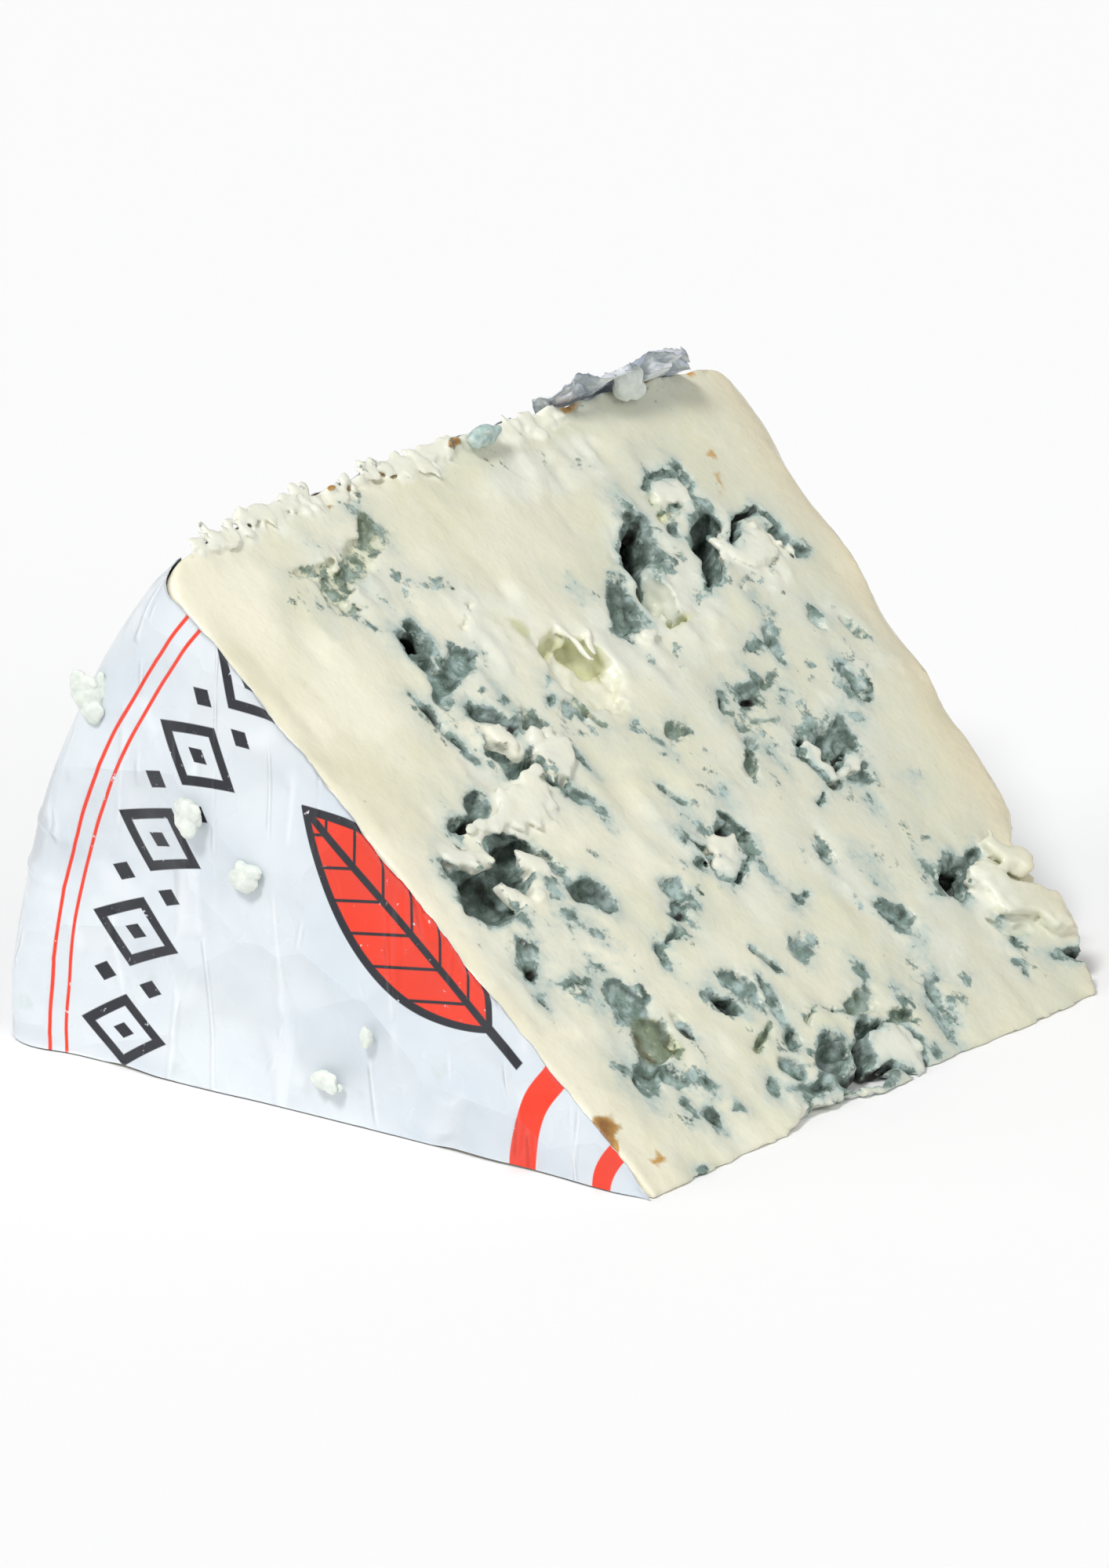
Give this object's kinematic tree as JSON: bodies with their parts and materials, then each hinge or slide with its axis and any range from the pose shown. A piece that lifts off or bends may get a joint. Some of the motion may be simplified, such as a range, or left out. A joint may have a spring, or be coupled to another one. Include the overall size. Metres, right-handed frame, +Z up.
{
  "type": "wedge of blue-veined cheese in foil paper",
  "caption": "Blue-veined cheese wedge lying on a cut face, with mould cavities in its upper cut face and printed foil paper on its flat faces and rim.",
  "frame": {"origin": "centre of the bounding box's bottom, on the surface that the wedge lies on", "axes": "+Z up, +X towards the sharp edge that was the wheel's middle, -Y towards the printed flat face"},
  "size_m": [0.098, 0.1142, 0.0678],
  "materials": {
    "cheese_paste": "satin",
    "foil_paper": "satin",
    "cheese_crumb": "satin",
    "mould_crumb": "matte"
  },
  "bodies": {
    "root": {"cheese_wedge": "cheese_paste", "foil_wrapper": "foil_paper", "crumb_1": "cheese_crumb", "crumb_2": "cheese_crumb", "crumb_3": "cheese_crumb", "crumb_4": "cheese_crumb", "crumb_5": "cheese_crumb", "crumb_6": "mould_crumb", "crumb_7": "cheese_crumb"}
  },
  "joints": []
}
